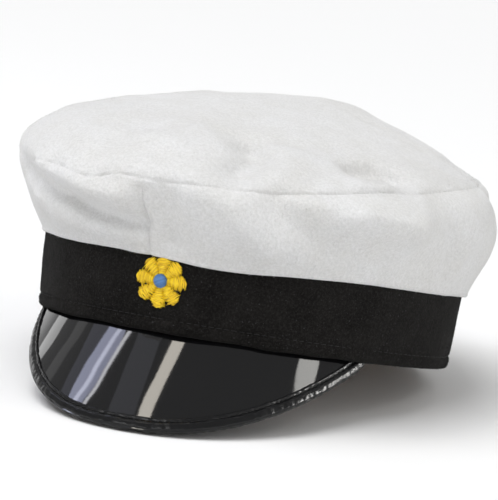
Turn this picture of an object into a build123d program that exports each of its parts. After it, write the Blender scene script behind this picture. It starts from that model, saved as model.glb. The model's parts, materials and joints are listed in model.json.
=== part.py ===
"""Student's peaked cap: soft white velvet crown, black velvet band, glossy visor and an embroidered cockade.

The pieces are built in the worn frame (band level, its lower rim centred on the origin, front along -Y), then the
whole cap is tipped back until the visor's tip and the back of the band both touch the table, and is set down with the
middle of its footprint box at the origin. Millimetres.
"""

from build123d import *
import os
from math import atan2, cos, radians, sin

# ---- driving dimensions ------------------------------------------------------------------------------------------
BAND_HALF_LENGTH = 103.0  # outside of the band at its lower rim, front to back
OVAL = 0.85  # width over length of every level section, as a head is
BAND_HEIGHT = 36.0
BAND_FLARE = 3.0  # how far the band leans out by its top
VELVET = 1.1
STIFFENER = 1.1
HEM_RADIUS = 1.65  # the velvet rolls round the stiffener's lower edge
HEM_HEIGHT = 9.0
LEATHER = 1.1
LAYER_GAP = 0.1
SWEATBAND_INSET = 5.1  # the sweatband's outer face, in from the band's outer face
SWEATBAND_TOP = 38.0

CROWN_LIP_Z = 31.5  # the crown's lower fold hangs over the top of the band
SEAM_HALF_LENGTH = 118.0  # seam between the crown's sides and its top
SEAM_Z = 74.0
SEAM_SHIFT = -4.0  # the crown leans forward of the band
SEAM_TILT = 5.5  # and its back is higher than its front, degrees
DOME_HEIGHT = 35.0
DOME_LEAN = 0.8  # how far the dome's peak moves back for each millimetre it rises
CROWN_VELVET = 1.5
WADDING = 1.5
SATIN = 0.6

VISOR_SLOPE = 54.0  # below level, along the visor's straight rulings, degrees
VISOR_LENGTH = 48.0  # from the band's rim to the tip, along the slope
VISOR_HALF_ANGLE = 60.0  # how far round the oval the visor reaches, each side of the front
VISOR_FAN = 0.12  # how far its sides spread for each millimetre down the slope
LACQUER = 0.6
BOARD = 1.8
VISOR_LINING = 0.6
VISOR_TOP = 1.7  # the visor's upper face, in from the band's outer face
VISOR_UNDER = VISOR_TOP + LACQUER + BOARD + VISOR_LINING
VISOR_MIDDLE = (VISOR_TOP + VISOR_UNDER) / 2
BINDING = 0.9
BINDING_WIDTH = 5.0

COCKADE_Z = 20.5
COCKADE_RADIUS = 10.6
PETALS = 8
BUTTON_RADIUS = 2.8
PIN_RADIUS = 0.6
PIN_CLEARANCE = 0.08
CLUTCH_RADIUS = 4.5

THREAD = 0.35

BAND_SLOPE = BAND_FLARE / BAND_HEIGHT
HEM_INSET = 2 * HEM_RADIUS


def joined(*pieces):
    """One closed outline from lines and curves laid end to end."""
    return Wire([edge for piece in pieces for edge in piece.edges()])


# ---- rings round the band --------------------------------------------------------------------------------------------
def radius(z, inset=0.0):
    """Distance from the axis, front to back, of the band's outer face at height z, less an inset."""
    return BAND_HALF_LENGTH + BAND_SLOPE * z - inset


def ring(outline, arc=360.0, middle=-90.0):
    """Turns a closed outline in (radius, height) round the axis, then narrows it to the oval. -90 is the front."""
    turned = revolve(Plane.XZ * make_face(outline), Axis.Z, revolution_arc=arc)
    return scale(Rot(0, 0, middle - arc / 2) * turned, by=(OVAL, 1, 1))


def wall(outer, inner, low, high, arc=360.0, middle=-90.0):
    """A leaning strip between two insets from the band's outer face, from one height to another."""
    corners = [
        (radius(low, outer), low),
        (radius(high, outer), high),
        (radius(high, inner), high),
        (radius(low, inner), low),
    ]
    return ring(Polyline(corners, close=True), arc, middle)


def oval_point(angle, z, inset=0.0):
    """Point on the band's oval, the angle measured from the front towards the wearer's left."""
    r = radius(z, inset)
    return Vector(OVAL * r * sin(radians(angle)), -r * cos(radians(angle)), z)


# ---- band ------------------------------------------------------------------------------------------------------------
def band_velvet():
    """Outer velvet, rolled round the lower rim and up inside the stiffener."""
    top, bend, inner = BAND_HEIGHT, HEM_RADIUS, HEM_INSET
    core = HEM_RADIUS - VELVET
    outside = Line((radius(top), top), (radius(bend), bend))
    roll = ThreePointArc((radius(bend), bend), (radius(0, HEM_RADIUS), 0), (radius(bend, inner), bend))
    inside = Line((radius(bend, inner), bend), (radius(HEM_HEIGHT, inner), HEM_HEIGHT))
    lip = Line((radius(HEM_HEIGHT, inner), HEM_HEIGHT), (radius(HEM_HEIGHT, inner - VELVET), HEM_HEIGHT))
    slot_in = Line((radius(HEM_HEIGHT, inner - VELVET), HEM_HEIGHT), (radius(bend, inner - VELVET), bend))
    slot_roll = ThreePointArc(
        (radius(bend, inner - VELVET), bend), (radius(0, HEM_RADIUS), bend - core), (radius(bend, VELVET), bend)
    )
    slot_out = Line((radius(bend, VELVET), bend), (radius(top, VELVET), top))
    rim = Line((radius(top, VELVET), top), (radius(top), top))
    outline = joined(outside, roll, inside, lip, slot_in, slot_roll, slot_out, rim)
    return ring(outline) - pin_hole()


def band_stiffener():
    inset = VELVET + LAYER_GAP / 2
    return wall(inset, inset + STIFFENER - LAYER_GAP, HEM_RADIUS, BAND_HEIGHT - 0.4) - pin_hole()


def sweatband():
    """Leather strip round the inside, with its ends a little apart at the back."""
    gap = 1.5
    return wall(SWEATBAND_INSET, SWEATBAND_INSET + LEATHER, 0.8, SWEATBAND_TOP, arc=360 - gap)


def sweatband_reed():
    """Strip of cloth between the sweatband's lower edge and the hem, from one end of the visor round to the other."""
    return wall(HEM_INSET + LAYER_GAP, SWEATBAND_INSET - LAYER_GAP, 1.5, 4.5, arc=354 - 2 * VISOR_HALF_ANGLE, middle=90)


def size_label():
    inset = SWEATBAND_INSET + LEATHER + LAYER_GAP
    return wall(inset, inset + 0.3, 14.0, 23.0, arc=9, middle=62)


def hem_stitches():
    """Row of stitches round the band, as one fine cord."""
    return wall(-0.05 - THREAD, -0.05, 5.3, 5.3 + THREAD)


def sweatband_stitches():
    """Row of stitches near the sweatband's lower edge, as one fine cord."""
    inset = SWEATBAND_INSET + LEATHER + 0.05
    return wall(inset, inset + THREAD, 3.0, 3.0 + THREAD, arc=352)


# ---- bow that ties the sweatband's ends ----------------------------------------------------------------------------------
BOW_Z = 27.0
BOW_WIDTH = 5.0
BOW_LOOP = 13.0
RIBBON = 0.4


def bow_origin():
    return Plane(oval_point(180, BOW_Z, SWEATBAND_INSET + LEATHER + 3.2), x_dir=(1, 0, 0), z_dir=(0, -1, 0))


def bow_loops():
    """Two flat loops of ribbon, one each side of the knot."""
    loops = []
    for side in (-1, 1):
        loop = Ellipse(BOW_LOOP / 2, 1.9) - Ellipse(BOW_LOOP / 2 - RIBBON, 1.9 - RIBBON)
        tube = extrude(Plane.XZ * loop, BOW_WIDTH / 2, both=True)
        loops.append(bow_origin() * Pos(side * (BOW_LOOP / 2 + 1.7), 0, 0) * Rot(0, 0, -side * 8) * tube)
    return Compound(children=loops)


def bow_knot():
    return bow_origin() * fillet(Box(3.0, 4.4, 3.4).edges(), 0.8)


def bow_tails():
    tails = []
    for side in (-1, 1):
        tail = Box(4.0, 14.0, RIBBON)
        tails.append(bow_origin() * Pos(side * 3.8, -9.4, side * 0.3) * Rot(0, 0, side * 20) * tail)
    return Compound(children=tails)


# ---- crown -----------------------------------------------------------------------------------------------------------
# height, half length, shift of the centre along Y and tilt of each level of the crown's side, from the lip to the seam
CROWN_LEVELS = [
    (CROWN_LIP_Z, radius(CROWN_LIP_Z) + 0.35 + CROWN_VELVET, 0.0, 0.0),
    (48.0, 115.0, -2.0, 2.0),
    (62.0, 121.0, -3.5, 4.0),
    (SEAM_Z, SEAM_HALF_LENGTH, SEAM_SHIFT, SEAM_TILT),
]


def level_plane(z, shift, tilt):
    return Plane(origin=(0, shift, z), x_dir=(1, 0, 0), z_dir=(0, -sin(radians(tilt)), cos(radians(tilt))))


def side_solid(inset):
    """The space inside the crown's side, filled, drawn in by an inset."""
    sections = []
    for z, half_length, shift, tilt in CROWN_LEVELS:
        level = level_plane(z, shift, tilt)
        sections.append(level * Ellipse(OVAL * half_length - inset, half_length - inset))
    return loft(sections)


def side_shell(outer, inner, lowest):
    """A layer of the crown's side, from one inset to another, above a given height."""
    shell = side_solid(outer) - side_solid(inner)
    below = Pos(0, 0, lowest - 100) * Box(400, 400, 200)
    above = level_plane(SEAM_Z, SEAM_SHIFT, SEAM_TILT) * Pos(0, 0, 100 - LAYER_GAP) * Box(400, 400, 200)
    return shell - below - above


def seam_allowance():
    """The crown's lower edge, turned in flat over the top of the band."""
    low, high = BAND_HEIGHT + 0.15, BAND_HEIGHT + 1.35
    return wall(-1.2, HEM_INSET, low, high)


def crown_side(side):
    """Left (+1) or right (-1) half of the crown's side; the halves meet in seams at the front and back."""
    whole = side_shell(0, CROWN_VELVET, CROWN_LIP_Z - 1) + seam_allowance()
    half = Pos(side * (200 + LAYER_GAP / 2), 0, 50) * Box(400, 400, 400)
    return whole & half


def dome_curve(inset, share=1.0):
    """Half of the dome's section, drawn in by an inset: the share of it nearest the peak."""
    reach, height = SEAM_HALF_LENGTH - inset, DOME_HEIGHT - inset
    curve = Spline(
        (0, height), (0.5 * reach, 0.80 * height), (0.92 * reach, 0.40 * height), (reach, 0),
        tangents=[(1, 0), (0, -1)],
    )
    return curve.trim(0, share)


def dome(outer, inner, share=1.0):
    """A layer of the crown's top, bowed up from the seam, with its peak leaning back."""
    over, under = dome_curve(outer, share), dome_curve(inner, share)
    axis, foot = Line(over @ 0, under @ 0), Line(over @ 1, under @ 1)
    bowl = revolve(Plane.XZ * make_face(joined(over, foot, under, axis)), Axis.Z)
    lean = Matrix([[OVAL, 0, 0, 0], [0, 1, DOME_LEAN, 0], [0, 0, 1, 0]])
    return level_plane(SEAM_Z, SEAM_SHIFT, SEAM_TILT) * bowl.transform_geometry(lean)


def sweat_shield():
    """Clear film sewn under the middle of the lining's top."""
    under = CROWN_VELVET + WADDING + SATIN + 3 * LAYER_GAP
    return dome(under, under + 0.3, share=0.3)


# ---- visor -----------------------------------------------------------------------------------------------------------
# Straight rulings carry the band's oval forward and down, so the visor bends one way only, as flat stock does.
RULING = Vector(0, -cos(radians(VISOR_SLOPE)), -sin(radians(VISOR_SLOPE)))
SLOPE_PLANE = Plane(origin=(0, 0, 0), x_dir=(1, 0, 0), z_dir=(0, -RULING.Z, RULING.Y))


def visor_reach(angle):
    """How far the visor runs down its slope from the band's rim, at an angle round the oval."""
    share = abs(sin(radians(angle))) / sin(radians(VISOR_HALF_ANGLE))
    return VISOR_LENGTH * max(0, 1 - share**2.5) ** 0.8


def visor_edge(grow):
    """Edge of the visor seen square to its slope, grown or shrunk; x across, y down the slope."""
    length, width = BAND_HALF_LENGTH - VISOR_MIDDLE, OVAL * BAND_HALF_LENGTH - VISOR_MIDDLE
    edge = []
    for share in (-1, -0.85, -0.6, -0.3, 0, 0.3, 0.6, 0.85, 1):
        angle = share * VISOR_HALF_ANGLE
        rim = length * cos(radians(angle)) * cos(radians(VISOR_SLOPE))
        spread = width + VISOR_FAN * visor_reach(angle)
        edge.append((spread * sin(radians(angle)), rim + visor_reach(angle)))
    curve = Spline(edge)
    grown = []
    for i in range(13):
        along = curve % (i / 12)
        grown.append(curve @ (i / 12) + Vector(-along.Y, along.X) * grow)
    return Spline(grown)


def visor_prism(grow):
    """Everything inside the visor's edge, square to its slope, from the middle of the oval forward."""
    edge = visor_edge(grow)
    left, right = edge @ 0, edge @ 1
    back = Polyline(right, (right.X, 0), (left.X, 0), left)
    return extrude(SLOPE_PLANE * make_face(joined(edge, back)), -200)


def visor_sweep(inset):
    """Everything behind one face of the visor: the oval carried down the slope, fanning out a little."""
    length, width, reach = BAND_HALF_LENGTH - inset, OVAL * BAND_HALF_LENGTH - inset, 1.6 * VISOR_LENGTH
    rim = Pos(0, 0, -0.1) * Ellipse(width, length)
    far = Pos(RULING * reach) * Ellipse(width + VISOR_FAN * reach, length)
    return loft([rim, far], ruled=True)


def visor_layer(outer, inner, grow=0.0):
    """A layer of the visor between two insets from the band's oval, out to its edge grown by some amount."""
    shell = visor_sweep(outer) - visor_sweep(inner)
    return shell & visor_prism(grow)


def visor_tape():
    """Cloth tape along the visor's upper edge, sewn in behind the hem."""
    return wall(HEM_INSET + 0.1, HEM_INSET + 0.7, 0.0, 8.5, arc=2 * VISOR_HALF_ANGLE - 4)


def visor_binding():
    """Leather strip folded over the visor's edge."""
    folded = visor_layer(VISOR_TOP - BINDING, VISOR_UNDER + BINDING, BINDING)
    space = visor_layer(VISOR_TOP - 0.1, VISOR_UNDER + 0.1, 0.1)
    return folded - visor_prism(-BINDING_WIDTH) - space


def visor_stitches():
    """Row of stitches near the binding's inner edge, as one fine cord."""
    surface = VISOR_TOP - BINDING
    row = visor_layer(surface - 0.05 - THREAD, surface - 0.05, 1.1 + THREAD - BINDING_WIDTH)
    return row - visor_prism(1.1 - BINDING_WIDTH)


# ---- cockade ---------------------------------------------------------------------------------------------------------
def cockade_plane():
    """Centre of the cockade on the band's front face, its normal straight out of the band."""
    lean = atan2(BAND_SLOPE, 1)
    return Plane(origin=(0, -radius(COCKADE_Z), COCKADE_Z), x_dir=(1, 0, 0), z_dir=(0, -cos(lean), -sin(lean)))


def pin_hole():
    return cockade_plane() * Cylinder(PIN_RADIUS + PIN_CLEARANCE, 12)


def cockade_backing():
    return cockade_plane() * Pos(0, 0, 0.5) * Cylinder(0.8 * COCKADE_RADIUS, 0.8)


def cockade_petals():
    """Eight embroidered lobes round an open middle."""
    lobe_radius = 0.30 * COCKADE_RADIUS
    reach = COCKADE_RADIUS - lobe_radius
    flower = Circle(reach)
    for i in range(PETALS):
        flower += Rot(0, 0, 360 * i / PETALS) * Pos(0, reach) * Circle(lobe_radius)
    flower -= Circle(BUTTON_RADIUS + LAYER_GAP)
    return cockade_plane() * Pos(0, 0, 1.0) * extrude(flower, 1.7)


def cockade_button():
    """Thread-covered button with a low dome."""
    base, crest = 1.0, 3.6
    side = Polyline((0, base), (BUTTON_RADIUS, base), (BUTTON_RADIUS, 2.2))
    top = Spline((BUTTON_RADIUS, 2.2), (0, crest), tangents=[(0, 1), (-1, 0)])
    half = make_face(joined(side, top, Line((0, crest), (0, base))))
    return cockade_plane() * revolve(Plane.XZ * half, Axis.Z)


def cockade_pin():
    """Brass post through the band."""
    reach = 4.7
    return cockade_plane() * Pos(0, 0, 0.05 - reach / 2) * Cylinder(PIN_RADIUS, reach)


def cockade_clutch():
    """Spring washer that grips the post behind the band's stiffener."""
    thick = 1.6
    face = VELVET + STIFFENER + 0.15
    disc = Pos(0, 0, -face - thick / 2) * Cylinder(CLUTCH_RADIUS, thick)
    crimp = Pos(0, 0, -face - thick - 0.2) * Torus(CLUTCH_RADIUS - 1.6, 0.3)
    return cockade_plane() * (disc + crimp - Cylinder(PIN_RADIUS + PIN_CLEARANCE, 12))


# ---- assembly --------------------------------------------------------------------------------------------------------
def build():
    wadding = CROWN_VELVET + LAYER_GAP
    satin = wadding + WADDING + LAYER_GAP
    board = VISOR_TOP + LACQUER
    above_band = BAND_HEIGHT + 2.0
    return {
        "crown_top": dome(0, CROWN_VELVET),
        "crown_side_left": crown_side(1),
        "crown_side_right": crown_side(-1),
        "wadding_top": dome(wadding, wadding + WADDING),
        "wadding_side": side_shell(wadding, wadding + WADDING, above_band),
        "lining_top": dome(satin, satin + SATIN),
        "lining_side": side_shell(satin, satin + SATIN, above_band),
        "sweat_shield": sweat_shield(),
        "band_velvet": band_velvet(),
        "band_stiffener": band_stiffener(),
        "hem_stitches": hem_stitches(),
        "sweatband": sweatband(),
        "sweatband_reed": sweatband_reed(),
        "sweatband_stitches": sweatband_stitches(),
        "size_label": size_label(),
        "bow_loops": bow_loops(),
        "bow_knot": bow_knot(),
        "bow_tails": bow_tails(),
        "visor_lacquer": visor_layer(VISOR_TOP, board - 0.05),
        "visor_board": visor_layer(board, board + BOARD),
        "visor_lining": visor_layer(board + BOARD + 0.05, VISOR_UNDER),
        "visor_tape": visor_tape(),
        "visor_binding": visor_binding(),
        "visor_stitches": visor_stitches(),
        "cockade_backing": cockade_backing(),
        "cockade_petals": cockade_petals(),
        "cockade_button": cockade_button(),
        "cockade_pin": cockade_pin(),
        "cockade_clutch": cockade_clutch(),
    }


def lowest(shape, tilt):
    return (Rot(tilt, 0, 0) * shape).bounding_box().min.Z


def resting_tilt(pieces):
    """Tip-back angle at which the visor's edge and the back of the hem are equally low, by halving."""
    level, steep = -25.0, 0.0
    for _ in range(18):
        tilt = (level + steep) / 2
        if lowest(pieces["visor_binding"], tilt) < lowest(pieces["band_velvet"], tilt):
            steep = tilt
        else:
            level = tilt
    return tilt


def main():
    pieces = build()
    tilt = resting_tilt(pieces)
    tipped = {name: Rot(tilt, 0, 0) * piece for name, piece in pieces.items()}
    box = Compound(list(tipped.values())).bounding_box()
    down = Pos(-box.center().X, -box.center().Y, -box.min.Z)
    os.makedirs("parts", exist_ok=True)
    for name, piece in tipped.items():
        export_step(down * piece, f"parts/{name}.step")
    print("resting tilt", round(tilt, 3), "shift", tuple(round(v, 3) for v in down.position), "size", box.size)


main()
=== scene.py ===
"""Looks of the student's peaked cap: cloth, leather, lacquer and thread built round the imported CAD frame.

Shapes are worked out in millimetres in the worn frame (band level, its lower rim centred on the origin,
visor along -Y, wearer's left along +X) and set down on the table through the head opening's mount.
"""

import json
import math

import bpy
import numpy as np
from mathutils import Matrix, Vector


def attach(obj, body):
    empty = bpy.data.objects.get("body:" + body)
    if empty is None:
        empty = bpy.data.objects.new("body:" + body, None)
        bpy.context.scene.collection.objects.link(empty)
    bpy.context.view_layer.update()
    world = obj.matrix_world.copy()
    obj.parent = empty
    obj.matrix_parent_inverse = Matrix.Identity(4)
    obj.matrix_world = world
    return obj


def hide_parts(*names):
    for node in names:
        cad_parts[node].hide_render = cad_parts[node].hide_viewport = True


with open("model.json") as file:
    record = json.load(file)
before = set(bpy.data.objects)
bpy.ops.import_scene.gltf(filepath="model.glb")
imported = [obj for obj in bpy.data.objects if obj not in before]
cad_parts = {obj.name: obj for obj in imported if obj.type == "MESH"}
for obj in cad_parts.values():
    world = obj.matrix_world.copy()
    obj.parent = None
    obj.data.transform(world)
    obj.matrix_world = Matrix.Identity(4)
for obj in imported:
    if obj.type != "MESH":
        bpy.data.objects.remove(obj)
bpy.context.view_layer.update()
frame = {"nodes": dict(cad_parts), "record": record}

MM = 0.001
OVAL = 0.85  # width over length of the band
BAND_HALF_LENGTH = 103.0  # at its rim
BAND_HEIGHT = 36.0
BAND_FLARE = 3.0 / BAND_HEIGHT
HEM_RADIUS = 1.65  # of the roll along the band's lower edge
HEM_STITCH_HEIGHT = 5.4
FACE_ROWS = 70  # rows of points down the band's outer face
HEM_ROWS = 16  # and round the roll below it
LIP_ROLL = 1.2  # radius of the fold along the crown's lower edge
LIP_ROWS = 14  # rows of points in that fold and the cloth tucked up behind it
VISOR_SLOPE = math.radians(54)  # below level
VISOR_LENGTH = 48.0  # down its slope, at the front
VISOR_HALF_ANGLE = math.radians(60)  # how far it reaches round the band each way
VISOR_FAN = 0.12  # how much it widens down its slope
VISOR_TOP_INSET = 1.7  # of its upper face from the band's outer face
VISOR_DEPTH = 3.0  # all its layers, measured level
VISOR_HALF_THICKNESS = VISOR_DEPTH * math.sin(VISOR_SLOPE) / 2

CAMERA_AZIMUTH = math.radians(20.7)  # towards the wearer's left, measured in the worn frame
CAMERA_ELEVATION = math.radians(0.7)
CAMERA_ROLL = math.radians(9.2)
CAMERA_DISTANCE = 1365.0
CAMERA_LENS = 222.8  # on a 36 mm sensor
CAMERA_SHIFT = (2.2, 37.9)  # of the camera from the band's centre, across and up the picture

rng = np.random.default_rng(7)  # one seed, so every run gives the same cap


# ---- the worn frame ------------------------------------------------------------------------------
opening = next(m for m in frame["record"]["mounts"] if m["name"] == "head_opening")
tilt = math.atan2(opening["axis"][1], -opening["axis"][2])
to_table = Matrix.Translation(opening["pos_m"]) @ Matrix.Rotation(tilt, 4, "X")
TURN = np.array(to_table.to_3x3())
SHIFT = np.array(to_table.translation)


def placed(points):
    """Points of the worn frame, in millimetres, as points of the row frame, in metres."""
    return np.asarray(points, float).reshape(-1, 3) * MM @ TURN.T + SHIFT


# ---- numbers -------------------------------------------------------------------------------------
def unit(vectors):
    return vectors / (np.linalg.norm(vectors, axis=-1, keepdims=True) + 1e-12)


def bell(distance, width):
    """1 at no distance, fading smoothly over about one width."""
    return np.exp(-((distance / width) ** 2))


def ripple(points, wavelength, seed, waves=14):
    """Smooth irregular waves through space, about 1 high, the same every time for one seed."""
    made = np.random.default_rng(seed)
    directions = unit(made.normal(size=(waves, 3))) * (2 * math.pi / wavelength)
    directions *= made.uniform(0.7, 1.4, size=(waves, 1))
    phases = made.uniform(0, 2 * math.pi, size=waves)
    return np.cos(points @ directions.T + phases).sum(-1) / math.sqrt(waves / 2)


def along_path(points, path):
    """Distance of each point from a line through the path's points."""
    nearest = np.full(points.shape[:-1], np.inf)
    for a, b in zip(np.array(path[:-1], float), np.array(path[1:], float)):
        run = b - a
        share = np.clip(((points - a) @ run) / (run @ run), 0, 1)
        nearest = np.minimum(nearest, np.linalg.norm(points - a - share[..., None] * run, axis=-1))
    return nearest


def grid_normals(grid):
    """Unit normals of a grid of points: its direction along a row crossed with that down a column."""
    return unit(np.cross(np.gradient(grid, axis=1), np.gradient(grid, axis=0)))


def row_lengths(grid):
    """Distance along each column from its first row."""
    steps = np.linalg.norm(np.diff(grid, axis=0), axis=-1)
    return np.vstack([np.zeros((1, grid.shape[1])), np.cumsum(steps, axis=0)])


def level_out(points):
    """Level direction out of the band's oval at each point."""
    return unit(points * np.array([1 / OVAL**2, 1, 0]))


# ---- making pieces -------------------------------------------------------------------------------
def add_object(name, data):
    made = bpy.data.objects.new(name, data)
    bpy.context.scene.collection.objects.link(made)
    return made


def piece(name, points, faces, material, slot, replaces=(), body="cap", smooth=True):
    """A mesh from worn-frame points, riding on a body and standing for some CAD nodes."""
    mesh = bpy.data.meshes.new(name)
    mesh.from_pydata(placed(points).tolist(), [], [[int(v) for v in face] for face in faces])
    mesh.polygons.foreach_set("use_smooth", [smooth] * len(mesh.polygons))
    mesh.materials.append(material)
    mesh.update()
    made = add_object(name, mesh)
    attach(made, body)
    if replaces:
        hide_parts(*replaces)


def joined(parts):
    """Several meshes, each its points and faces, as one."""
    faces, start = [], 0
    for points, own in parts:
        faces.extend([vertex + start for vertex in face] for face in own)
        start += len(points)
    return np.concatenate([points for points, _ in parts]), faces


def grid_faces(rows, columns, closed=False, flip=False):
    """Quads of a grid of points numbered row by row; closed joins the last column to the first."""
    r, c = np.meshgrid(np.arange(rows - 1), np.arange(columns if closed else columns - 1), indexing="ij")
    d = (c + 1) % columns
    here, below = r * columns, (r + 1) * columns
    quads = np.stack([here + c, here + d, below + d, below + c], -1).reshape(-1, 4)
    return quads[:, ::-1] if flip else quads


def tubes(paths, thickness, sides=6):
    """Points and quads of round threads, one along each path; paths is (threads, steps, 3)."""
    paths = np.asarray(paths, float)
    threads, steps = paths.shape[:2]
    along = unit(np.gradient(paths, axis=1))
    spare = np.where(np.abs(along[..., 2:]) > 0.9, np.array([1.0, 0, 0]), np.array([0, 0, 1.0]))
    across = unit(np.cross(along, spare))
    up = np.cross(across, along)
    ends = np.sin(np.linspace(0.12, math.pi - 0.12, steps)) ** 0.35
    radius = np.broadcast_to(np.asarray(thickness, float).reshape(-1, 1), (threads, steps)) * ends
    turn = np.arange(sides) * 2 * math.pi / sides
    around = np.cos(turn)[:, None] * across[:, :, None] + np.sin(turn)[:, None] * up[:, :, None]
    rings = paths[:, :, None] + radius[..., None, None] * around
    quads = grid_faces(steps, sides, closed=True)
    faces = (quads[None] + (np.arange(threads) * steps * sides)[:, None, None]).reshape(-1, 4)
    caps = []
    for k in range(threads):
        first = k * steps * sides
        caps.append(list(range(first, first + sides))[::-1])
        caps.append(list(range(first + (steps - 1) * sides, first + steps * sides)))
    return rings.reshape(-1, 3), faces.tolist() + caps


def fibres(grid, normals, count, length, lean, rows):
    """Points and triangles of a short pile scattered over some rows of a grid surface."""
    i = rng.choice(rows, count)
    j = rng.integers(0, grid.shape[1] - 1, count)
    u, v = rng.random((2, count, 1))
    near = (1 - u) * (1 - v) * grid[i, j] + u * (1 - v) * grid[i + 1, j]
    root = near + (1 - u) * v * grid[i, j + 1] + u * v * grid[i + 1, j + 1]
    grow = unit(normals[i, j] + lean * rng.normal(size=(count, 3)) + np.array([0, 0, -0.25]))
    side = unit(np.cross(grow, rng.normal(size=(count, 3))))
    tall = length * rng.uniform(0.5, 1.2, size=(count, 1))
    points = np.stack([root - 0.05 * side, root + 0.05 * side, root + grow * tall], 1).reshape(-1, 3)
    return points, np.arange(3 * count).reshape(-1, 3)


# ---- materials -----------------------------------------------------------------------------------
class Surface:
    """A procedural material: a Principled shader with helpers for noise, mixing and bump."""

    def __init__(self, name, colour, roughness, **sockets):
        self.material = bpy.data.materials.new(name)
        self.material.use_nodes = True
        self.nodes = self.material.node_tree.nodes
        self.links = self.material.node_tree.links
        self.shader = self.nodes["Principled BSDF"]
        self.shader.inputs["Base Color"].default_value = (*colour, 1)
        self.shader.inputs["Roughness"].default_value = roughness
        for socket, value in sockets.items():
            self.shader.inputs[socket.replace("_", " ")].default_value = value
        self.place = self.nodes.new("ShaderNodeTexCoord").outputs["Object"]
        self.normal = None

    def noise(self, scale, detail=3.0, roughness=0.6, stretch=None, distortion=0.0):
        """Noise in metres of the row frame; stretch scales the axes before it is read."""
        node = self.nodes.new("ShaderNodeTexNoise")
        node.inputs["Scale"].default_value = scale
        node.inputs["Detail"].default_value = detail
        node.inputs["Roughness"].default_value = roughness
        node.inputs["Distortion"].default_value = distortion
        source = self.place
        if stretch:
            mapping = self.nodes.new("ShaderNodeMapping")
            mapping.inputs["Scale"].default_value = stretch
            self.links.new(source, mapping.inputs["Vector"])
            source = mapping.outputs["Vector"]
        self.links.new(source, node.inputs["Vector"])
        return node.outputs["Fac"]

    def cells(self, scale):
        """Distance from the middle of the nearest of many small irregular cells."""
        node = self.nodes.new("ShaderNodeTexVoronoi")
        node.inputs["Scale"].default_value = scale
        self.links.new(self.place, node.inputs["Vector"])
        return node.outputs["Distance"]

    def ramp(self, source, low, high, first, last):
        """Two colours or greys, blended as source goes from low to high."""
        node = self.nodes.new("ShaderNodeValToRGB")
        node.color_ramp.elements[0].position = low
        node.color_ramp.elements[1].position = high
        node.color_ramp.elements[0].color = (*first, 1)
        node.color_ramp.elements[1].color = (*last, 1)
        self.links.new(source, node.inputs["Fac"])
        return node.outputs["Color"]

    def mix(self, factor, first, last, blend="MIX"):
        """Two colours blended by a factor; each of the three is a socket or a plain value."""
        node = self.nodes.new("ShaderNodeMix")
        node.data_type = "RGBA"
        node.blend_type = blend
        for value, name in ((factor, "Factor"), (first, "A"), (last, "B")):
            socket = node.inputs[name]
            if isinstance(value, bpy.types.NodeSocket):
                self.links.new(value, socket)
            else:
                socket.default_value = value
        return node.outputs["Result"]

    def set(self, socket, source):
        self.links.new(source, self.shader.inputs[socket])

    def bump(self, source, depth, strength=1.0):
        """Adds relief of that depth in metres on top of the relief so far."""
        node = self.nodes.new("ShaderNodeBump")
        node.inputs["Distance"].default_value = depth
        node.inputs["Strength"].default_value = strength
        self.links.new(source, node.inputs["Height"])
        if self.normal is not None:
            self.links.new(self.normal, node.inputs["Normal"])
        self.normal = node.outputs["Normal"]
        self.links.new(self.normal, self.shader.inputs["Normal"])


def white_velvet():
    s = Surface(
        "white velvet", (0.8, 0.79, 0.785), 0.95,
        Sheen_Weight=0.3, Sheen_Roughness=0.6, Specular_IOR_Level=0.2,
    )
    soft = s.ramp(s.noise(45, 4), 0.35, 0.65, (0.84, 0.835, 0.825), (0.89, 0.89, 0.895))
    fine = s.ramp(s.noise(850, 4, 0.75), 0.3, 0.7, (0.80, 0.80, 0.79), (1, 1, 1))
    s.set("Base Color", s.mix(1.0, soft, fine, "MULTIPLY"))
    s.bump(s.noise(160, 3), 0.0008, 0.5)
    s.bump(s.noise(850, 4, 0.75), 0.0009, 1.0)
    return s.material


def black_velvet():
    s = Surface(
        "black velvet", (0.01, 0.01, 0.01), 0.95,
        Sheen_Weight=0.02, Sheen_Roughness=0.5, Specular_IOR_Level=0.06,
    )
    soft = s.ramp(s.noise(60, 4), 0.35, 0.7, (0.005, 0.0047, 0.0043), (0.011, 0.0104, 0.0097))
    lint = s.ramp(s.noise(1100, 2, 0.5), 0.66, 0.80, (0, 0, 0), (1, 1, 1))
    nap = s.ramp(s.noise(1000, 5, 0.75), 0.45, 0.78, (0, 0, 0), (1, 1, 1))
    s.set("Base Color", s.mix(lint, s.mix(nap, soft, (0.026, 0.0245, 0.023, 1)), (0.06, 0.06, 0.062, 1)))
    s.bump(s.noise(200, 3), 0.0007, 0.6)
    s.bump(s.noise(1600, 3, 0.7), 0.0004, 0.9)
    return s.material


def lacquer():
    s = Surface("patent lacquer", (0.004, 0.004, 0.0045), 0.04, Specular_IOR_Level=0.5)
    s.bump(s.noise(30, 1, 0.4, distortion=0.4), 0.0010, 0.2)
    s.bump(s.noise(1500, 2), 0.00002, 0.12)
    return s.material


def grained_leather(name, colour, roughness, scale, depth, shine=0.5):
    s = Surface(name, colour, roughness, Specular_IOR_Level=shine)
    s.bump(s.ramp(s.cells(scale), 0.0, 0.6, (1, 1, 1), (0, 0, 0)), depth, 0.6)
    s.bump(s.noise(scale * 3, 3), depth * 0.5, 0.6)
    smoother, rougher = roughness * 0.8, min(1, roughness * 1.3)
    s.set("Roughness", s.ramp(s.noise(70, 3), 0.3, 0.7, (smoother,) * 3, (rougher,) * 3))
    return s.material


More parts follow.
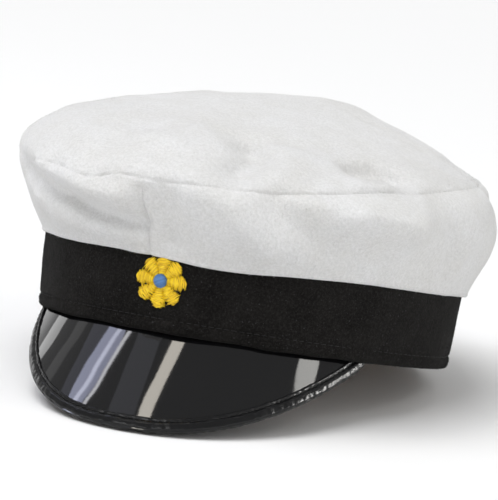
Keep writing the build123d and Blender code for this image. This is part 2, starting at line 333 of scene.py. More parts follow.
def thread(name, dark, light, roughness=0.5, sheen=0.2):
    s = Surface(name, light, roughness, Sheen_Weight=sheen, Sheen_Roughness=0.4)
    each = s.nodes.new("ShaderNodeNewGeometry").outputs["Random Per Island"]
    s.set("Base Color", s.ramp(each, 0.0, 0.8, dark, light))
    s.bump(s.noise(4000, 2, stretch=(1, 1, 0.3)), 0.0001, 0.5)
    return s.material


def satin(name, colour, roughness=0.35):
    s = Surface(name, colour, roughness, Sheen_Weight=0.3, Sheen_Roughness=0.3)
    s.bump(s.noise(2600, 2, stretch=(1, 0.15, 1)), 0.00008, 0.5)
    s.bump(s.noise(90, 3), 0.0006, 0.4)
    return s.material


def felt(name, colour):
    s = Surface(name, colour, 1.0, Sheen_Weight=0.3)
    s.bump(s.noise(1800, 4), 0.0003, 0.8)
    return s.material


def clear_film():
    s = Surface("clear film", (0.95, 0.95, 0.95), 0.12, Alpha=0.28, IOR=1.45)
    s.bump(s.noise(60, 2), 0.0005, 0.4)
    return s.material


def metal(name, colour, roughness):
    s = Surface(name, colour, roughness, Metallic=1.0)
    s.bump(s.noise(900, 3), 0.00003, 0.5)
    return s.material


WHITE = white_velvet()
BLACK = black_velvet()
LACQUER = lacquer()
BINDING = grained_leather("binding leather", (0.006, 0.006, 0.0065), 0.22, 800, 0.00010, 0.3)
UNDERSIDE = grained_leather("visor leatherette", (0.02, 0.02, 0.021), 0.5, 1300, 0.00012)
SWEAT_LEATHER = grained_leather("sweatband leather", (0.33, 0.17, 0.08), 0.45, 1500, 0.00010)
LINING = satin("lining satin", (0.82, 0.8, 0.75))
LABEL = satin("label weave", (0.85, 0.83, 0.78), 0.6)
RIBBON = satin("black ribbon", (0.012, 0.012, 0.014), 0.3)
BLACK_THREAD = thread("black thread", (0.004, 0.004, 0.004), (0.014, 0.014, 0.014), 0.85, 0.0)
YELLOW_THREAD = thread("yellow thread", (0.66, 0.38, 0.005), (1.0, 0.72, 0.012), 0.45, 0.05)
BLUE_THREAD = thread("blue thread", (0.07, 0.17, 0.40), (0.12, 0.27, 0.55), 0.5, 0.1)
FELT = felt("black felt", (0.015, 0.015, 0.015))
TAPE = felt("cotton tape", (0.6, 0.58, 0.52))
BOARD = felt("fibre board", (0.04, 0.04, 0.04))
FILM = clear_film()
BRASS = metal("brass", (0.8, 0.58, 0.25), 0.3)


# ---- crown ---------------------------------------------------------------------------------------
# Angles run round from the front towards the wearer's left. The soft crown sits a little askew: lower over
# the front, fuller over the left, its peak behind and left of the middle.
PEAK = np.array([10.0, 50.0, 110.5])
CENTRE = np.array([0.0, -5.0, 52.0])  # folds push the cloth towards here
FRONT_SEAM = (math.radians(-4), math.radians(-3))  # the front seam's angle at the lip and at the top
SEAM_CROWDING = 1.9  # crowds the top's rows of points towards its seam


def lip_height(angle):
    """Height of the crown's lower edge, which dips over the front of the band."""
    d = np.degrees(angle)
    return 34.2 - 3.6 * bell(d - 15, 22) - 1.5 * bell(d + 30, 22)


def seam_height(angle):
    """Height of the seam between side and top, low and uneven at the front."""
    d = np.degrees(np.arctan2(np.sin(angle), np.cos(angle)))
    wander = 1.4 * bell(d, 16) + 1.4 * bell(d + 9, 5) - 1.6 * bell(d + 17, 5) + 1.4 * bell(d + 31, 8)
    return 71.5 - 12 * np.cos(angle) + 4 * np.sin(angle) + 1.6 * (1 - np.cos(2 * angle)) + wander


def crown_side(angle, rise):
    """Point of the crown's side at an angle, rise going from 0 at the lip to 1 at the seam."""
    swell = rise + 0.25 * rise * (1 - rise)
    left = np.clip(np.sin(angle), 0, 1)
    right = np.clip(-np.sin(angle), 0, 1)
    out = 4.6 * left * bell(rise - 0.5, 0.33) - (0.6 + 9.6 * left) * rise**8 - 1.6 * right * rise * (1 - rise)
    across = (92.2 + 11.4 * swell + out) * np.sin(angle) - 2.4 * swell
    along = -(108.2 + 13.4 * swell + out) * np.cos(angle) - 5 * swell
    height = lip_height(angle) + rise * (seam_height(angle) - lip_height(angle))
    return np.stack([across, along, height], -1)


def crown_top(angle, reach):
    """Point of the crown's top at an angle, reach going from 0 at the peak to 1 at the seam."""
    rim = crown_side(angle, np.ones_like(angle))
    slack = (1 - np.cos(angle + math.radians(69))) / 2  # how far the cloth sags from round to straight
    blunt = 0.15  # share of the way out over which the peak is rounded off
    eased = (np.sqrt(reach**2 + blunt**2) - blunt) / (math.sqrt(1 + blunt**2) - blunt)
    rise = (1 - np.clip(eased, 0, 1) ** (1.25 - 0.25 * slack)) ** (0.43 + 0.42 * slack)
    level = PEAK[:2] + reach[..., None] * (rim[..., :2] - PEAK[:2])
    return np.concatenate([level, (rim[..., 2] + (PEAK[2] - rim[..., 2]) * rise)[..., None]], -1)


# Soft folds and dimples: depth inwards (negative bulges out) and width in millimetres, then the line they
# follow, in degrees round from the front and as a share of the way: from the lip up to the seam on the side,
# and from the peak out to the seam on the top.
SIDE_FOLDS = [
    (4.8, 5.6, [(-50, 0.86), (-42, 0.77), (-32, 0.64), (-22, 0.52), (-12, 0.42), (-5, 0.37)]),
    (2.2, 4.0, [(-28, 0.60), (-18, 0.48), (-9, 0.40)]),
    (-5.6, 7.0, [(-34, 0.92), (-26, 0.84), (-17, 0.74), (-10, 0.66)]),
    (-1.8, 8.0, [(-44, 0.42), (-34, 0.30), (-20, 0.16)]),
    (2.6, 5.0, [(-30, 0.99), (-27, 0.93)]),
    (3.2, 6.5, [(3, 0.85), (4, 0.5), (3, 0.2)]),
    (-2.2, 5.0, [(-9, 0.5), (-8, 0.05)]),
    (-3.4, 7.5, [(19, 0.75), (22, 0.5), (27, 0.25)]),
    (4.4, 7.5, [(28, 0.85), (33, 0.6), (40, 0.38)]),
    (3.0, 7.0, [(73, 0.9), (77, 0.6), (80, 0.4)]),
    (-7.2, 7.5, [(48, 0.72), (54, 0.68), (62, 0.62)]),
    (2.4, 9.0, [(48, 0.46), (62, 0.36), (76, 0.40)]),
    (-1.6, 7.0, [(3, 0.95), (12, 0.93)]),
    (3.5, 9.0, [(110, 0.9), (128, 0.6), (140, 0.35)]),
    (-2.5, 10.0, [(120, 0.95), (138, 0.8)]),
    (3.0, 9.0, [(-112, 0.9), (-130, 0.6), (-148, 0.4)]),
    (-2.2, 10.0, [(-100, 0.5), (-122, 0.3)]),
    (2.4, 9.0, [(168, 0.9), (172, 0.5)]),
    (2.2, 9.0, [(-168, 0.35), (-176, 0.7)]),
    (1.8, 8.0, [(88, 0.3), (98, 0.6)]),
]
TOP_FOLDS = [
    (9.0, 8.0, [(15, 0.82), (19, 0.87), (17, 0.95)]),
    (-3.0, 9.5, [(1, 0.81), (-2, 0.90)]),
    (-2.6, 8.0, [(30, 0.84), (28, 0.93)]),
    (1.8, 6.0, [(-6, 0.93), (1, 0.95)]),
    (0.8, 4.5, [(-32, 0.89), (-13, 0.85), (8, 0.77), (29, 0.76), (46, 0.71)]),
    (8.0, 8.5, [(50, 0.87), (56, 0.87), (62, 0.92)]),
    (-4.0, 6.0, [(49, 0.97), (55, 0.97)]),
    (2.5, 9.0, [(118, 0.85), (108, 0.55)]),
    (2.6, 10.0, [(-108, 0.85), (-128, 0.5)]),
    (2.2, 8.0, [(165, 0.85), (150, 0.6)]),
    (-1.8, 10.0, [(-150, 0.8), (-170, 0.7)]),
]


def in_space(surface, line):
    """Points on a surface of the crown along a fold's line."""
    angles, shares = np.array(line, float).T
    return surface(np.radians(angles), shares)


def fold_depth(points):
    """How far the folds and the cloth's general unevenness push each point in."""
    depth = np.zeros(points.shape[:-1])
    for surface, folds in ((crown_side, SIDE_FOLDS), (crown_top, TOP_FOLDS)):
        for deep, width, line in folds:
            depth += deep * bell(along_path(points, in_space(surface, line)), width)
    return depth + 0.35 * ripple(points, 46, 3) + 0.2 * ripple(points, 19, 5)


def inward(points):
    """Direction in which folds push, the same for cloth on both sides of a seam."""
    return -unit((points - CENTRE) * np.array([1.0, 1.0, 1.7]))


def rumpled(grid, from_top_seam, from_side_seams=()):
    """The cloth pushed in by folds, along the seam round the top and along the seams up the sides."""
    pull = 1 + 0.3 * ripple(grid, 9, 11)
    front = bell(np.degrees(np.arctan2(grid[..., 0], -grid[..., 1])) + 15, 50)
    sharp, soft = 0.1 + 0.5 * front, 0.25 + 0.25 * front
    depth = fold_depth(grid) + pull * (sharp * bell(from_top_seam, 0.8) + soft * bell(from_top_seam, 3.2))
    clear = 1 - bell(from_top_seam, 3.0)
    for distance in from_side_seams:
        depth += clear * pull * (1.5 * bell(distance, 0.8) + 0.5 * bell(distance, 3.2))
    return grid + inward(grid) * depth[..., None]


def top_grid(columns=480, rows=120):
    """The top panel from its seam in to the peak, its last column repeating its first."""
    angle = np.linspace(-math.pi, math.pi, columns + 1)[:-1]
    share = np.linspace(0, 1, rows)
    reach = 1 - share**SEAM_CROWDING
    a, r = np.meshgrid(angle, reach)
    grid = crown_top(a, r)
    return np.concatenate([grid, grid[:, :1]], 1)


def side_grid(side, columns=300, rows=96):
    """Left (+1) or right (-1) panel from the lip up to the seam, and how far up each point is."""
    share = np.linspace(0, 1, columns)
    rise = np.linspace(0, 1, rows)
    u, w = np.meshgrid(share, rise)
    front = FRONT_SEAM[0] + w * (FRONT_SEAM[1] - FRONT_SEAM[0])
    back = math.pi * side
    return crown_side(front + u * (back - front), w), w


def cloth_top():
    """The top panel; returns its points and outward normals."""
    grid = top_grid()
    grid = rumpled(grid, row_lengths(grid))
    grid[:, -1] = grid[:, 0]
    grid[-1] = grid[-1].mean(0)
    rows, columns = grid.shape[:2]
    piece(
        "crown_top_cloth", grid[:, :-1].reshape(-1, 3), grid_faces(rows, columns - 1, closed=True),
        WHITE, "crown_velvet", ["crown_top", "wadding_top"],
    )
    return grid, grid_normals(grid)


def cloth_side(side):
    """Left (+1) or right (-1) panel with its lip rolled in; returns its points and inward normals."""
    base, rise = side_grid(side)
    up, run = row_lengths(base), row_lengths(base.swapaxes(0, 1)).T
    worked = rumpled(base, up[-1] - up, [run, run[:, -1:] - run])
    grid = base + (worked - base) * (1 - 0.6 * bell(rise, 0.10))[..., None]
    level, upright = level_out(grid[0]), np.array([0, 0, 1.0])
    first = -0.45  # the roll starts this far above level, in radians
    roll = grid[0] - LIP_ROLL * (math.cos(first) * level - math.sin(first) * upright)
    turned = []
    for turn in np.linspace(first, math.pi, LIP_ROWS - 1)[1:]:
        turned.append(roll + LIP_ROLL * (math.cos(turn) * level - math.sin(turn) * upright))
    tucked = [turned[-1] + height * upright for height in (4.0, 1.5)]
    rows = np.concatenate([np.array(tucked), np.array(turned[::-1]), grid], 0)
    name = "left" if side > 0 else "right"
    stands_for = [f"crown_side_{name}"] + (["wadding_side"] if side > 0 else [])
    faces = grid_faces(rows.shape[0], rows.shape[1], flip=side < 0)
    piece(f"crown_{name}_cloth", rows, faces, WHITE, "crown_velvet", stands_for)
    return rows, -side * grid_normals(rows)


top_rows, top_normals = cloth_top()
left_rows, left_normals = cloth_side(1)
right_rows, right_normals = cloth_side(-1)


def crown_pile():
    """Pile on the crown. On the lip and sides it grows inwards, behind the cloth; on the top it shows."""
    parts = []
    for rows, normals in ((left_rows, left_normals), (right_rows, right_normals)):
        lip, wall = np.arange(LIP_ROWS - 8, LIP_ROWS + 4), np.arange(LIP_ROWS, len(rows) - 2)
        parts.append(fibres(rows, normals, 16000, 0.9, 0.5, lip))
        parts.append(fibres(rows, normals, 14000, 0.7, 0.6, wall))
    parts.append(fibres(top_rows, top_normals, 26000, 0.7, 0.6, np.arange(0, 60)))
    piece("crown_pile", *joined(parts), WHITE, "crown_velvet", smooth=False)


crown_pile()


# ---- band ----------------------------------------------------------------------------------------
def band_point(angle, height, inset):
    """Point round the band at a height above its rim, inset from its outer face."""
    r = BAND_HALF_LENGTH + BAND_FLARE * height - inset
    return np.stack([OVAL * r * np.sin(angle), -r * np.cos(angle), height + 0 * angle], -1)


def ring_piece(name, profile, material, slot, replaces, start=-math.pi, end=math.pi, columns=720, shape=None):
    """A strip round the band: profile is a list of (height, inset), and shape may move the grid of points."""
    closed = end - start > 2 * math.pi - 1e-6
    angle = np.linspace(start, end, columns + (1 if closed else 0))
    angle = angle[:-1] if closed else angle
    heights, insets = np.array(profile, float).T
    a, h = np.meshgrid(angle, heights)
    _, i = np.meshgrid(angle, insets)
    grid = band_point(a, h, i)
    if shape:
        grid = shape(grid, a, h)
    piece(name, grid, grid_faces(*grid.shape[:2], closed=closed), material, slot, replaces)
    return grid


def band_profile():
    """Outer face from the top down, the rolled hem, and its inner face back up."""
    rows = [(h, 0.0) for h in np.linspace(BAND_HEIGHT, HEM_RADIUS, FACE_ROWS)]
    for turn in np.linspace(0, math.pi, HEM_ROWS + 1)[1:]:
        rows.append((HEM_RADIUS - HEM_RADIUS * math.sin(turn), HEM_RADIUS - HEM_RADIUS * math.cos(turn)))
    rows += [(h, 2 * HEM_RADIUS) for h in np.linspace(HEM_RADIUS, 9.0, 12)[1:]]
    rows += [(9.0, 2.2), (8.0, 2.15)]
    return rows


def uneven_band(grid, angle, height):
    """The band's outer face pushed about by its wadding, its row of stitches and the visor below it."""
    outer = np.ones_like(height)
    outer[FACE_ROWS + HEM_ROWS :] = 0
    wave = 0.8 + 0.22 * ripple(grid, 40, 21) + 0.05 * ripple(grid, 11, 22)
    seam = 0.55 * bell(height - HEM_STITCH_HEIGHT, 0.55) - 0.25 * bell(height - 3.2, 1.3)
    down = 0.2 * (1 + ripple(grid, 24, 24)) * bell(height, 3.0) * np.clip(2 * np.cos(angle) - 0.6, 0, 1)
    sag = np.stack([0 * height, 0 * height, -down], -1)
    return grid + level_out(grid) * ((wave - seam) * outer)[..., None] + sag * outer[..., None]


band_grid = ring_piece(
    "band_cloth", band_profile(), BLACK, "band_velvet", ["band_velvet"], shape=uneven_band
)


def band_pile():
    """Pile over the outer face and round the hem."""
    normals = grid_normals(band_grid)
    normals *= np.sign((normals * level_out(band_grid)).sum(-1, keepdims=True) + 1e-9)
    face = fibres(band_grid, normals, 24000, 0.5, 0.6, np.arange(5, FACE_ROWS - 4))
    hem = fibres(band_grid, normals, 12000, 0.55, 0.7, np.arange(FACE_ROWS - 8, FACE_ROWS + 10))
    piece("band_pile", *joined([face, hem]), BLACK, "band_velvet", smooth=False)


band_pile()


def stitch_ring(name, height, inset, length, gap, thickness, replaces, start=-math.pi, end=math.pi, lift=0.0):
    """A row of separate black stitches round the band, each bowed outwards by lift."""
    mean_radius = 95
    count = int(mean_radius * (end - start) / (length + gap))
    centre = start + (np.arange(count) + 0.5) * (end - start) / count
    half = (end - start) / count * length / (length + gap) / 2
    steps = np.linspace(-1, 1, 7)
    angle = centre[:, None] + half * steps
    path = band_point(angle, np.full_like(angle, height), inset - lift * (1 - steps**4))
    piece(name, *tubes(path, thickness), BLACK_THREAD, "black_thread", replaces)


stitch_ring("hem_thread", HEM_STITCH_HEIGHT, -0.35, 2.4, 0.9, 0.17, ["hem_stitches"], lift=0.25)


# ---- inside --------------------------------------------------------------------------------------
def wavy(size, seed):
    """A shape for ring_piece that bends the strip in and out."""
    def shape(grid, angle, height):
        return grid + level_out(grid) * (size * ripple(grid, 28, seed))[..., None]
    return shape


def strip_profile(low, high, outer, thick):
    """Closed section of a strip with rounded edges."""
    rows = []
    mid, half = outer + thick / 2, thick / 2
    for turn in np.linspace(0, math.pi, 7):
        rows.append((high - half + half * math.sin(turn), mid - half * math.cos(turn)))
    for height in np.linspace(high - half, low + half, 24)[1:-1]:
        rows.append((height, outer + thick))
    for turn in np.linspace(math.pi, 2 * math.pi, 7):
        rows.append((low + half + half * math.sin(turn), mid - half * math.cos(turn)))
    for height in np.linspace(low + half, high - half, 24)[1:-1]:
        rows.append((height, outer))
    rows.append(rows[0])
    return rows


SLIT = math.radians(0.75)  # half the gap between the sweatband's ends
ring_piece(
    "sweatband_leather", strip_profile(0.8, 38.0, 5.1, 1.1), SWEAT_LEATHER, "sweat_leather", ["sweatband"],
    start=-math.pi + SLIT, end=math.pi - SLIT, shape=wavy(0.25, 31),
)
stitch_ring(
    "sweatband_thread", 3.2, 6.2, 2.2, 1.2, 0.2, ["sweatband_stitches"],
    start=-math.pi + 4 * SLIT, end=math.pi - 4 * SLIT, lift=-0.15,
)
ring_piece(
    "reed_cloth", strip_profile(1.5, 4.5, 3.5, 1.4), TAPE, "reed", ["sweatband_reed"],
    start=math.radians(63), end=math.radians(297),
)
ring_piece(
    "label_cloth", strip_profile(14.0, 23.0, 6.3, 0.35), LABEL, "label", ["size_label"],
    start=math.radians(147.5), end=math.radians(156.5), columns=24,
)


def lining():
    """Satin inside the crown, gathered round the sweatband's top and following the cloth's folds."""
    angle = np.linspace(-math.pi, math.pi, 481)[:-1]
    a, w = np.meshgrid(angle, np.linspace(0.12, 1, 50))
    b, share = np.meshgrid(angle, np.linspace(0, 1, 70)[1:])
    whole = np.concatenate([crown_side(a, w), crown_top(b, 1 - share**SEAM_CROWDING)], 0)
    gathers = 0.5 * np.sin(90 * angle) * np.exp(-np.linspace(0, 5, len(whole)))[:, None]
    depth = 5.0 + np.clip(fold_depth(whole), 0, None) + 0.6 * (1 + ripple(whole, 24, 41)) + gathers
    grid = whole + inward(whole) * depth[..., None]
    grid[-1] = grid[-1].mean(0)
    piece(
        "lining_cloth", grid, grid_faces(*grid.shape[:2], closed=True, flip=True), LINING, "satin",
        ["lining_top", "lining_side"],
    )


lining()


def shield():
    """Clear film under the lining's top."""
    angle = np.linspace(-math.pi, math.pi, 121)[:-1]
    a, r = np.meshgrid(angle, np.linspace(0.3, 0, 16))
    grid = crown_top(a, r)
    level = grid - np.array([0, 0, 9.5])
    level[-1] = level[-1].mean(0)
    faces = grid_faces(*grid.shape[:2], closed=True, flip=True)
    piece("shield_film", level, faces, FILM, "film", ["sweat_shield"])


shield()


def ribbon_strip(path, width, across, thick=0.35):
    """Points and quads of a flat ribbon along a path, width measured along the direction across."""
    path = np.asarray(path, float)
    across = unit(np.broadcast_to(np.asarray(across, float), path.shape))
    along = unit(np.gradient(path, axis=0))
    face = unit(np.cross(along, across))
    corners = [(-0.5, -0.5), (-0.5, 0.5), (0.5, 0.5), (0.5, -0.5)]
    rings = np.stack([path + across * width * c + face * thick * f for c, f in corners], 1)
    faces = grid_faces(len(path), 4, closed=True).tolist()
    last = 4 * (len(path) - 1)
    faces += [[3, 2, 1, 0], [last, last + 1, last + 2, last + 3]]
    return rings.reshape(-1, 3), faces


def bow():
    """Ribbon bow at the back that draws the sweatband's ends together."""
    centre = band_point(np.array(math.pi), np.array(27.0), 8.7)
    turn = np.linspace(0, 2 * math.pi, 41)
    parts = []
    for side in (-1, 1):
        x = side * (7.6 - 6.4 * np.cos(turn))
        y = 1.7 * np.sin(turn) * np.sin(turn / 2) ** 0.5
        z = side * 0.1 * x + 0.4 * np.sin(turn)
        parts.append(ribbon_strip(centre + np.stack([x, y, z], -1), 5.0, (0, 0, 1)))
        drop = np.linspace(0, 1, 24)
        tail = np.stack([side * (1.5 + 6 * drop), -0.4 + 0.7 * np.sin(4 * drop), -2 - 14.5 * drop], -1)
        parts.append(ribbon_strip(centre + tail, 4.0, (1, 0, side * 0.35)))
    a, b = np.meshgrid(np.linspace(0, 2 * math.pi, 25), np.linspace(-math.pi / 2, math.pi / 2, 15))
    round_off = np.cos(b) ** 0.4
    knot = centre + np.stack([1.7 * np.cos(a) * round_off, 1.9 * np.sin(a) * round_off, 2.5 * np.sin(b)], -1)
    knot += 0.12 * ripple(knot, 2.4, 51)[..., None]
    parts.append((knot.reshape(-1, 3), grid_faces(15, 25)))
    piece("ribbon_bow", *joined(parts), RIBBON, "ribbon", ["bow_loops", "bow_knot", "bow_tails"])


bow()


# ---- visor ---------------------------------------------------------------------------------------
def visor_reach(angle):
    """How far the visor goes down its slope at an angle round the band."""
    share = np.abs(np.sin(angle)) / math.sin(VISOR_HALF_ANGLE)
    return VISOR_LENGTH * np.clip(1 - share**2.5, 0, 1) ** 0.8


def visor_point(angle, reach, inset=VISOR_TOP_INSET):
    """Point of the visor down its slope from the band's rim."""
    length, width = BAND_HALF_LENGTH - inset, OVAL * BAND_HALF_LENGTH - inset
    across = (width + VISOR_FAN * reach) * np.sin(angle)
    along = -length * np.cos(angle) - reach * math.cos(VISOR_SLOPE)
    return np.stack([across, along, -0.1 - reach * math.sin(VISOR_SLOPE)], -1)


def visor_normal(angle, reach, inset=VISOR_TOP_INSET):
    """Upward normal of the visor."""
    e = 1e-3
    a = visor_point(angle + e, reach, inset) - visor_point(angle - e, reach, inset)
    b = visor_point(angle, reach + e, inset) - visor_point(angle, reach - e, inset)
    return unit(np.cross(b, a))


def visor_sheet(name, inset, material, slot, replaces, flip=False):
    angle = np.linspace(-VISOR_HALF_ANGLE, VISOR_HALF_ANGLE, 241)
    a, share = np.meshgrid(angle, np.linspace(0, 1, 60))
    under_hem = 2.0
    reach = share * (visor_reach(a) + under_hem) - under_hem
    grid = visor_point(a, reach, inset)
    piece(name, grid, grid_faces(*grid.shape[:2], flip=flip), material, slot, replaces)


visor_sheet("visor_gloss", VISOR_TOP_INSET, LACQUER, "lacquer", ["visor_lacquer"])
visor_sheet(
    "visor_underside", VISOR_TOP_INSET + VISOR_DEPTH, UNDERSIDE, "visor_cloth", ["visor_lining"], flip=True
)


def edge_frame(count):
    """Points along the middle of the visor's edge, outward and upward directions there, and its length."""
    middle = VISOR_TOP_INSET + VISOR_DEPTH / 2
    turn = np.linspace(-1, 1, 1201)
    angle = VISOR_HALF_ANGLE * np.sin(turn * math.pi / 2)
    line = visor_point(angle, visor_reach(angle), middle)
    run = np.concatenate([[0], np.cumsum(np.linalg.norm(np.diff(line, axis=0), axis=1))])
    even = np.linspace(0, run[-1], count)
    line = np.stack([np.interp(even, run, line[:, k]) for k in range(3)], -1)
    angle = np.interp(even, run, angle)
    onward = unit(np.gradient(line, axis=0))
    up = visor_normal(angle, visor_reach(angle), middle)
    up = unit(up - onward * (up * onward).sum(-1, keepdims=True))
    out = unit(np.cross(onward, up))
    down_slope = np.array([0, -math.cos(VISOR_SLOPE), -math.sin(VISOR_SLOPE)])
    out *= np.sign(out[count // 2] @ down_slope)
    return line, out, up, run[-1]


def binding():
    """Leather folded over the edge: a rolled bead, a pressed channel for the stitches, a thin inner lip."""
    line, out, up, _ = edge_frame(900)
    half = VISOR_HALF_THICKNESS
    section = [(-5.0, half + 0.05), (-4.9, half + 0.55), (-4.5, half + 0.85), (-4.0, half + 0.75)]
    section += [(-3.6, half + 0.38), (-3.3, half + 0.35), (-2.9, half + 0.75), (-2.2, half + 1.05)]
    section += [(-1.4, half + 1.05), (-0.6, half + 0.75)]
    bead = half + 0.75
    for turn in np.linspace(math.pi / 2, -math.pi / 2, 13)[1:]:
        section.append((-0.6 + 1.55 * math.cos(turn), bead * math.sin(turn)))
    section += [(-1.6, -half - 0.95), (-3.0, -half - 0.85), (-4.4, -half - 0.75)]
    section += [(-4.9, -half - 0.5), (-5.0, -half - 0.05)]
    section = np.array(section)
    grid = line[None] + section[:, 0, None, None] * out[None] + section[:, 1, None, None] * up[None]
    rise, run = np.gradient(section[:, 1])[:, None, None], np.gradient(section[:, 0])[:, None, None]
    normals = unit(out[None] * rise - up[None] * run)
    grid = grid + 0.10 * normals * (ripple(grid, 11, 61) + 0.6 * ripple(grid, 3.5, 62))[..., None]
    piece("visor_binding_leather", grid, grid_faces(*grid.shape[:2]), BINDING, "binding", ["visor_binding"])


binding()


def binding_thread():
    """Stitches lying in the binding's channel."""
    line, out, up, length = edge_frame(2400)
    half = VISOR_HALF_THICKNESS
    stitch, gap = 1.9, 0.7
    count = int(length * 0.97 / (stitch + gap))
    steps = np.linspace(0, 1, 7)
    starts = 0.015 * length + np.arange(count) * (stitch + gap)
    at = (starts[:, None] + steps * stitch) / length * (len(line) - 1)
    index = np.clip(at.astype(int), 0, len(line) - 1)
    height = half + 0.42 + 0.16 * np.sin(math.pi * steps)[None, :, None]
    centre = line[index] - 3.45 * out[index] + height * up[index]
    piece("visor_thread", *tubes(centre, 0.17), BLACK_THREAD, "black_thread", ["visor_stitches"])


binding_thread()
ring_piece(
    "visor_tape_cloth", strip_profile(0.0, 8.5, 3.4, 0.6), TAPE, "reed", ["visor_tape"],
    start=math.radians(-58), end=math.radians(58), columns=200,
)


# ---- cockade -------------------------------------------------------------------------------------
COCKADE_HEIGHT = 20.9
COCKADE_RADIUS = 10.8
COCKADE_TURN = math.radians(-2)  # how far the flower is turned on its post
PETALS = 8
PETAL_ROOT = 2.6  # distance from the middle at which a petal's stitches start
BUTTON_RADIUS = 2.9
lean = math.atan(BAND_FLARE)
COCKADE_OUT = np.array([0, -math.cos(lean), -math.sin(lean)])
COCKADE_UP = np.array([0, -math.sin(lean), math.cos(lean)])
COCKADE_CENTRE = band_point(np.array(0.0), np.array(COCKADE_HEIGHT), 0.0)


def on_cockade(across, up, out):
    """Points of the cockade's own frame: across towards the wearer's left, up the band, out of it."""
    c, s = math.cos(COCKADE_TURN), math.sin(COCKADE_TURN)
    x, y = c * across - s * up, s * across + c * up
    level = COCKADE_CENTRE + x[..., None] * np.array([1.0, 0, 0]) + y[..., None] * COCKADE_UP
    return level + out[..., None] * COCKADE_OUT


def petals():
    """Satin stitches laid across each padded petal, over a ground that backs them."""
    paths, widths = [], []
    steps = np.linspace(-1, 1, 9)
    for k in range(PETALS):
        turn = math.radians(360 / PETALS * k) + rng.normal(0, 0.04)
        reach_out = COCKADE_RADIUS * rng.uniform(0.95, 1.04)
        slant = rng.normal(0, 0.12)
        for layer in range(2):
            for row in np.linspace(0, 1, 30) + 0.015 * layer:
                reach = PETAL_ROOT + (reach_out - PETAL_ROOT) * row
                tip = max(0.0, 1 - max(0.0, (reach - reach_out + 3.1) / 3.15) ** 2) ** 0.5
                half = min(0.38 * reach + 0.3, 3.15) * tip * (1 + rng.normal(0, 0.09))
                if half < 0.6:
                    continue
                pad = (1.0 - 0.25 * layer) * (0.55 + 0.45 * math.sin(math.pi * min(1, row + 0.08)))
                height = 0.9 + pad * (1 - np.abs(steps) ** 2.2) + 0.25 * layer + rng.normal(0, 0.06)
                x = half * (steps + rng.normal(0, 0.08))
                y = reach + (slant + rng.normal(0, 0.13)) * x + 0.3 * (1 - steps**2) + rng.normal(0, 0.10)
                across = x * math.cos(turn) + y * math.sin(turn)
                up = y * math.cos(turn) - x * math.sin(turn)
                paths.append(on_cockade(across, up, height))
                widths.append(rng.uniform(0.15, 0.22))
    turn, out = np.meshgrid(np.linspace(0, 2 * math.pi, 193)[:-1], np.linspace(0.05, 1, 12))
    edge = COCKADE_RADIUS * (0.70 + 0.16 * np.cos(PETALS * turn))
    ground = on_cockade(out * edge * np.sin(turn), out * edge * np.cos(turn), 1.25 - 0.6 * out**6)
    parts = [tubes(paths, widths), (ground.reshape(-1, 3), grid_faces(12, 192, closed=True))]
    piece("petal_thread", *joined(parts), YELLOW_THREAD, "yellow_thread", ["cockade_petals"], body="cockade")


petals()


def button():
    """Low dome wound with blue thread."""
    paths = []
    steps = np.linspace(-1, 1, 17)
    turn = 0.5  # direction of the winding, in radians
    for offset in np.linspace(-0.93, 0.93, 17):
        half = math.sqrt(1 - offset**2)
        x = BUTTON_RADIUS * half * steps
        y = np.full_like(x, BUTTON_RADIUS * offset) + 0.05 * rng.normal()
        rho = np.clip(np.hypot(x, y) / BUTTON_RADIUS, 0, 1)
        height = 1.7 + 1.85 * np.sqrt(1 - 0.97 * rho**2)
        across = x * math.cos(turn) - y * math.sin(turn)
        up = x * math.sin(turn) + y * math.cos(turn)
        paths.append(on_cockade(across, up, height))
    a, r = np.meshgrid(np.linspace(0, 2 * math.pi, 49), np.linspace(0, 1, 17))
    x, y = (BUTTON_RADIUS - 0.05) * np.cos(a), (BUTTON_RADIUS - 0.05) * np.sin(a)
    dome = on_cockade(r * x, r * y, 1.6 + 1.8 * np.sqrt(1 - 0.98 * r**2))
    skirt = on_cockade(x[:1], y[:1], np.full_like(x[:1], 0.9))
    core = np.concatenate([dome, skirt]).reshape(-1, 3)
    parts = [tubes(paths, 0.24), (core, grid_faces(18, 49))]
    piece("button_thread", *joined(parts), BLUE_THREAD, "blue_thread", ["cockade_button"], body="cockade")


button()


def backing():
    """Felt disc behind the petals."""
    a, r = np.meshgrid(np.linspace(0, 2 * math.pi, 73)[:-1], np.array([0.7, 8.3, 8.5, 8.5, 8.3, 0.7]))
    _, h = np.meshgrid(np.arange(72), np.array([0.9, 0.9, 0.75, 0.25, 0.1, 0.1]))
    r = r * (1 + 0.012 * np.sin(9 * a))
    disc = on_cockade(r * np.cos(a), r * np.sin(a), h)
    faces = grid_faces(6, 72, closed=True)
    piece("felt_backing", disc, faces, FELT, "felt", ["cockade_backing"], body="cockade")


backing()

for node, material in {
    "band_stiffener": TAPE,
    "visor_board": BOARD,
    "cockade_pin": BRASS,
    "cockade_clutch": BRASS,
}.items():
    shown = frame["nodes"][node]
    shown.data.materials.clear()
    shown.data.materials.append(material)


# ---- camera, floor and lights --------------------------------------------------------------------
def camera_axes():
    """Rightward, upward and backward directions of the camera in the worn frame."""
    ca, sa = math.cos(CAMERA_AZIMUTH), math.sin(CAMERA_AZIMUTH)
    ce, se = math.cos(CAMERA_ELEVATION), math.sin(CAMERA_ELEVATION)
    back = Vector((sa * ce, -ca * ce, se))
    right = Vector((ca, sa, 0))
    up = back.cross(right)
    c, s = math.cos(CAMERA_ROLL), math.sin(CAMERA_ROLL)
    return c * right + s * up, c * up - s * right, back


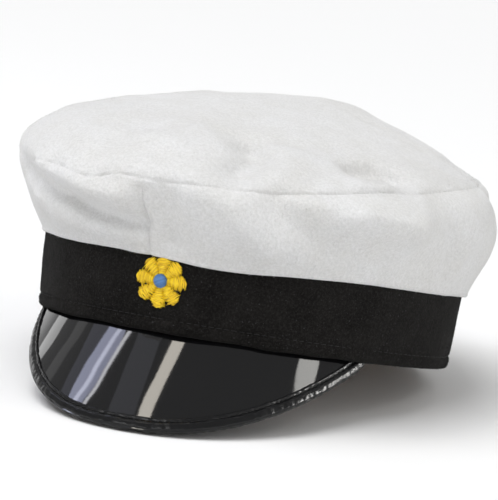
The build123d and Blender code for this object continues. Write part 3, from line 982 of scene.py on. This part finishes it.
def add_camera():
    right, up, back = camera_axes()
    centre = CAMERA_SHIFT[0] * right + CAMERA_SHIFT[1] * up + CAMERA_DISTANCE * back
    data = bpy.data.cameras.new("camera")
    data.lens = CAMERA_LENS
    data.sensor_width = 36
    data.clip_end = 50
    made = add_object("camera", data)
    worn = Matrix((right, up, back)).transposed().to_4x4()
    worn.translation = centre * MM
    made.matrix_world = to_table @ worn
    bpy.context.scene.camera = made


CARD_DISTANCE = 1.3  # metres from the visor
VISOR_MIDDLE = Vector((0, -0.115, -0.02))  # metres, in the worn frame


def direction(azimuth, elevation):
    """Direction in degrees: round from the front to the wearer's left, and up."""
    a, e = math.radians(azimuth), math.radians(elevation)
    return Vector((math.sin(a) * math.cos(e), -math.cos(a) * math.cos(e), math.sin(e)))


def add_card(name, azimuth, elevation, across, along, power, colour=(1, 1, 1), on_cloth=True):
    """Light card that the visor mirrors, placed from the visor in a direction of the worn frame.

    across and along are the card's sides as seen from there, in degrees. A card that isn't on_cloth doesn't
    light matt surfaces.
    """
    toward = to_table.to_3x3() @ direction(azimuth, elevation)
    data = bpy.data.lights.new(name, "AREA")
    data.shape = "RECTANGLE"
    data.size = 2 * CARD_DISTANCE * math.tan(math.radians(across / 2))
    data.size_y = 2 * CARD_DISTANCE * math.tan(math.radians(along / 2))
    data.energy = power * data.size * data.size_y * math.pi
    data.color = colour
    made = add_object(name, data)
    made.location = to_table @ VISOR_MIDDLE + toward * CARD_DISTANCE
    made.visible_diffuse = on_cloth
    made.rotation_euler = toward.to_track_quat("Z", "Y").to_euler()


def add_sun(name, azimuth, elevation, spread, strength, colour):
    """Broad, even light for cloth and floor, kept out of the visor's reflections."""
    data = bpy.data.lights.new(name, "SUN")
    data.angle = math.radians(spread)
    data.energy = strength
    data.color = colour
    made = add_object(name, data)
    made.rotation_euler = direction(azimuth, elevation).to_track_quat("Z", "Y").to_euler()
    made.visible_glossy = False


def add_floor():
    mesh = bpy.data.meshes.new("floor")
    mesh.from_pydata([(-30, -30, 0), (30, -30, 0), (30, 30, 0), (-30, 30, 0)], [], [(0, 1, 2, 3)])
    mesh.materials.append(Surface("floor", (0.9, 0.9, 0.9), 0.9).material)
    add_object("floor", mesh)


def set_world():
    """White near the horizon, like a studio's paper sweep, and dimmer overhead."""
    world = bpy.data.worlds.new("studio")
    bpy.context.scene.world = world
    world.use_nodes = True
    nodes, links = world.node_tree.nodes, world.node_tree.links
    direction = nodes.new("ShaderNodeSeparateXYZ")
    links.new(nodes.new("ShaderNodeTexCoord").outputs["Generated"], direction.inputs["Vector"])
    ramp = nodes.new("ShaderNodeValToRGB")
    ramp.color_ramp.elements[0].position = 0.10
    ramp.color_ramp.elements[0].color = (1, 1, 1, 1)
    ramp.color_ramp.elements[1].position = 0.30
    ramp.color_ramp.elements[1].color = (0.37, 0.37, 0.37, 1)
    links.new(direction.outputs["Z"], ramp.inputs["Fac"])
    links.new(ramp.outputs["Color"], nodes["Background"].inputs["Color"])


add_camera()
add_floor()
set_world()
bpy.context.scene.view_settings.view_transform = "Standard"
add_sun("overhead", -35, 66, 48, 2.1, (0.985, 0.99, 1.0))
add_sun("front", 70, 35, 70, 0.48, (1.0, 0.985, 0.96))
add_card("streak_left", -79.0, 46.2, 6.5, 12, 4.6, (0.70, 0.74, 1.0))
add_card("streak_left_core", -77.6, 47.0, 1.4, 12, 5.0, (0.85, 0.87, 1.0))
add_card("streak_left_edge", -71.5, 49.6, 1.0, 12, 9.0, (0.95, 0.95, 1.0))
add_card("streak_left_halo", -85, 42.5, 12, 12, 0.5, (0.75, 0.78, 1.0))
add_card("streak_between", -52, 59, 13, 10, 0.5, (0.85, 0.87, 1.0))
add_card("streak_middle", -27, 64, 4.8, 9, 9.5, (1.0, 0.94, 0.84))
add_card("streak_right", 93.5, 45.6, 5.6, 8, 7.0, (1.0, 0.99, 0.95))
add_card("binding_right", 112, 16, 20, 12, 24.0, (1.0, 0.99, 0.96), on_cloth=False)
add_card("binding_front", -10, 18, 36, 8, 7.0, on_cloth=False)
add_card("far_left", -116, 20, 6, 20, 2.0)
add_card("far_left_dim", -101, 32, 4, 12, 0.35)
